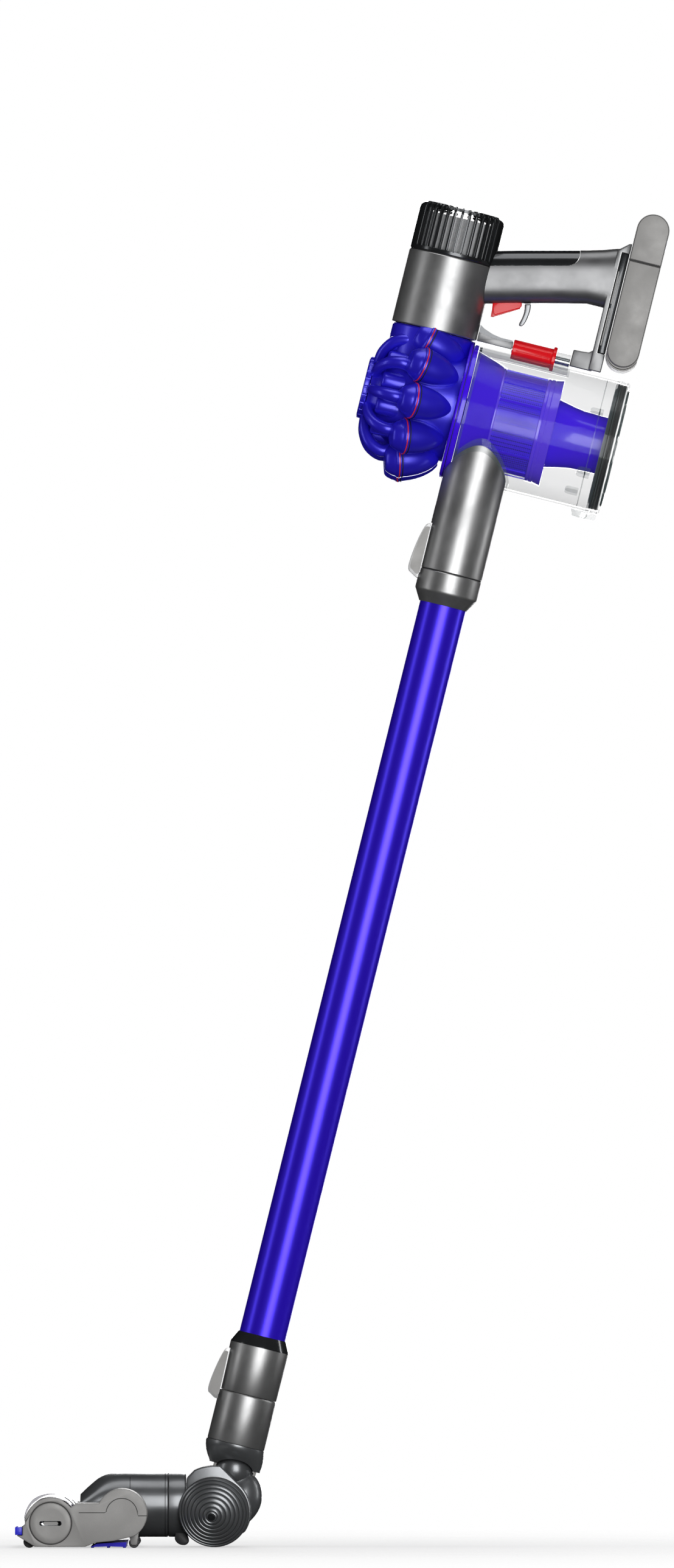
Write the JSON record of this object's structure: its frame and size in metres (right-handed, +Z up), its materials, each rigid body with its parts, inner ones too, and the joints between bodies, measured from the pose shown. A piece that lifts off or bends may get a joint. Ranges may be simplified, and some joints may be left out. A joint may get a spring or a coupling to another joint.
{
  "type": "cordless stick vacuum cleaner",
  "caption": "Cordless stick vacuum: handheld cyclone unit with clear bin, battery and pistol grip, on a long wand with a motorised, swivelling floor head.",
  "frame": {"origin": "floor level, under the centre of the standing cleaner's bounding box; the wand and floor head are centred on Y = 0", "axes": "+Z up; +X from the floor head back towards the user; +Y across the floor head, towards its drive side"},
  "size_m": [0.5489, 0.25, 1.1318],
  "materials": {
    "nickel": "metallic nickel-grey moulded plastic, glossy",
    "gunmetal": "dark gunmetal moulded plastic, glossy",
    "handle_grey": "mid-grey metallic paint on moulded plastic",
    "satin_grey": "warm light grey moulded plastic, satin with a fine texture",
    "dark_gloss": "dark blue-grey moulded plastic, glossy",
    "black_plastic": "black moulded plastic, matte",
    "rubber": "black rubber, matte",
    "steel": "plain steel",
    "blue_plastic": "royal blue moulded plastic, satin gloss",
    "violet_plastic": "blue-violet moulded plastic, slightly translucent",
    "blue_tube": "deep blue-violet anodised aluminium, smooth",
    "red_plastic": "bright red moulded plastic, slightly translucent",
    "clear_plastic": "clear moulded polycarbonate, polished",
    "smoke_plastic": "lightly smoked clear moulded plastic, polished",
    "filter": "pleated white filter fleece",
    "felt": "blue woven felt",
    "bristle": "dark soft woven pile with bristle rows",
    "board": "green circuit board"
  },
  "bodies": {
    "handheld": {"motor_housing": "nickel", "motor_stator": "black_plastic", "cyclone_pack": "blue_plastic", "cyclone_flange": "blue_plastic", "shroud": "violet_plastic", "dust_cone": "violet_plastic", "release_rail": "clear_plastic", "handle_body": "handle_grey", "grip_cover": "gunmetal", "finger_guard": "nickel", "control_board": "board", "trigger_switch": "black_plastic", "contact_strip": "black_plastic", "battery_case": "satin_grey", "battery_cover": "satin_grey", "battery_cells": "steel"},
    "trigger": {"trigger": "red_plastic"},
    "power_button": {"power_button": "blue_plastic"},
    "filter_stick": {"filter_knob": "blue_plastic", "pre_filter": "filter"},
    "filter_unit": {"exhaust_cap": "gunmetal", "post_filter": "filter"},
    "rotor": {"motor_impeller": "steel"},
    "slider": {"release_slider": "red_plastic"},
    "bin": {"bin_shell": "clear_plastic", "inlet_tube": "nickel"},
    "bin_lid": {"bin_lid": "clear_plastic", "lid_seal": "rubber", "lid_hinge_pin": "steel"},
    "inlet_button": {"inlet_button": "satin_grey"},
    "wand": {"wand_tube": "blue_tube", "wand_collar": "nickel", "wand_socket": "nickel"},
    "wand_button": {"wand_button": "satin_grey"},
    "neck": {"neck_sleeve": "nickel", "swivel_yoke": "dark_gloss", "swivel_pin_front": "steel", "swivel_pin_rear": "steel"},
    "elbow": {"elbow_pipe": "dark_gloss"},
    "carriage": {"pivot_carriage": "dark_gloss", "swivel_collar": "dark_gloss", "wheel_axle": "steel"},
    "wheel_left": {"wheel_left": "dark_gloss"},
    "wheel_right": {"wheel_right": "dark_gloss"},
    "head": {"head_base": "satin_grey", "duct_pipe": "dark_gloss", "brush_window": "smoke_plastic", "end_cap_left": "satin_grey", "end_cap_right": "satin_grey", "front_bumper": "blue_plastic", "sole_strip": "felt", "brush_motor": "steel", "drive_belt": "rubber"},
    "brush": {"brush_bar": "bristle"},
    "motor_pulley": {"motor_pulley": "steel"},
    "end_lock": {"end_cap_lock": "satin_grey"},
    "rear_roller_left": {"rear_roller_left": "black_plastic"},
    "rear_roller_right": {"rear_roller_right": "black_plastic"},
    "front_roller_left": {"front_roller_left": "black_plastic"},
    "front_roller_right": {"front_roller_right": "black_plastic"}
  },
  "joints": [
    {"name": "trigger_pull", "type": "hinge", "parent": "handheld", "child": "trigger", "pos_m": [0.1475, 0.025, 1.044], "axis": [0, 1, 0], "range_deg": [0, 8], "stiffness_Nm_per_rad": 0.12, "springref_deg": -14.32},
    {"name": "power_button_press", "type": "slide", "parent": "handheld", "child": "power_button", "axis": [-0.9707, 0, 0.2402], "range_m": [0, 0.0015], "stiffness_N_per_m": 300, "springref_m": -0.001},
    {"name": "filter_stick_pull", "type": "slide", "parent": "handheld", "child": "filter_stick", "axis": [-0.9707, 0, 0.2402], "range_m": [0, 0.12]},
    {"name": "filter_unit_lift", "type": "slide", "parent": "handheld", "child": "filter_unit", "axis": [0.2402, 0, 0.9707], "range_m": [0, 0.06]},
    {"name": "motor_spin", "type": "hinge", "parent": "handheld", "child": "rotor", "pos_m": [0.08363, 0.025, 1.05099], "axis": [0.2402, 0, 0.9707], "continuous": true},
    {"name": "release_slide", "type": "slide", "parent": "handheld", "child": "slider", "axis": [0.9707, 0, -0.2402], "range_m": [0, 0.008], "stiffness_N_per_m": 250, "springref_m": -0.004},
    {"name": "bin_slide", "type": "slide", "parent": "handheld", "child": "bin", "axis": [0.9707, 0, -0.2402], "range_m": [0, 0.13]},
    {"name": "bin_lid_swing", "type": "hinge", "parent": "bin", "child": "bin_lid", "pos_m": [0.20203, 0.025, 0.86758], "axis": [0, 1, 0], "range_deg": [0, 100]},
    {"name": "inlet_button_press", "type": "hinge", "parent": "bin", "child": "inlet_button", "pos_m": [0.07463, 0, 0.85646], "axis": [0, -1, 0], "range_deg": [0, 2.5], "stiffness_Nm_per_rad": 1.5, "springref_deg": -2.86},
    {"name": "wand_pull", "type": "slide", "parent": "bin", "child": "wand", "axis": [-0.2402, 0, -0.9707], "range_m": [0, 0.06]},
    {"name": "wand_button_press", "type": "hinge", "parent": "wand", "child": "wand_button", "pos_m": [-0.09529, 0, 0.164], "axis": [0, -1, 0], "range_deg": [0, 2.5], "stiffness_Nm_per_rad": 1.5, "springref_deg": -2.86},
    {"name": "neck_pull", "type": "slide", "parent": "wand", "child": "neck", "axis": [-0.2402, 0, -0.9707], "range_m": [0, 0.05]},
    {"name": "side_swing", "type": "hinge", "parent": "neck", "child": "elbow", "pos_m": [-0.09036, 0, 0.06903], "axis": [0.9707, 0, -0.2402], "range_deg": [-25, 25]},
    {"name": "pitch", "type": "hinge", "parent": "elbow", "child": "carriage", "pos_m": [-0.1082, 0, 0.0298], "axis": [0, -1, 0], "range_deg": [-13.9, 60]},
    {"name": "wheel_left_roll", "type": "hinge", "parent": "carriage", "child": "wheel_left", "pos_m": [-0.1082, -0.0296, 0.02985], "axis": [-0.091, -0.9781, -0.187], "continuous": true},
    {"name": "wheel_right_roll", "type": "hinge", "parent": "carriage", "child": "wheel_right", "pos_m": [-0.1082, 0.0296, 0.02985], "axis": [-0.091, 0.9781, -0.187], "continuous": true},
    {"name": "head_roll", "type": "hinge", "parent": "carriage", "child": "head", "pos_m": [-0.1472, 0, 0.0353], "axis": [1, 0, 0], "range_deg": [-25, 25]},
    {"name": "brush_spin", "type": "hinge", "parent": "head", "child": "brush", "pos_m": [-0.2446, 0, 0.0207], "axis": [0, 1, 0], "continuous": true},
    {"name": "motor_pulley_spin", "type": "hinge", "parent": "head", "child": "motor_pulley", "pos_m": [-0.186, 0.11, 0.024], "axis": [0, 1, 0], "continuous": true},
    {"name": "end_lock_turn", "type": "hinge", "parent": "head", "child": "end_lock", "pos_m": [-0.2446, -0.1235, 0.0207], "axis": [0, -1, 0], "range_deg": [0, 90]},
    {"name": "rear_roller_left_spin", "type": "hinge", "parent": "head", "child": "rear_roller_left", "pos_m": [-0.1749, -0.109, 0.0044], "axis": [0, 1, 0], "continuous": true},
    {"name": "rear_roller_right_spin", "type": "hinge", "parent": "head", "child": "rear_roller_right", "pos_m": [-0.1749, 0.109, 0.0044], "axis": [0, 1, 0], "continuous": true},
    {"name": "front_roller_left_spin", "type": "hinge", "parent": "head", "child": "front_roller_left", "pos_m": [-0.2624, -0.108, 0.0052], "axis": [0, 1, 0], "continuous": true},
    {"name": "front_roller_right_spin", "type": "hinge", "parent": "head", "child": "front_roller_right", "pos_m": [-0.2624, 0.108, 0.0052], "axis": [0, 1, 0], "continuous": true}
  ],
  "couplings": [
    {"joint": "motor_pulley_spin", "follows": "brush_spin", "ratio": 1.6}
  ]
}
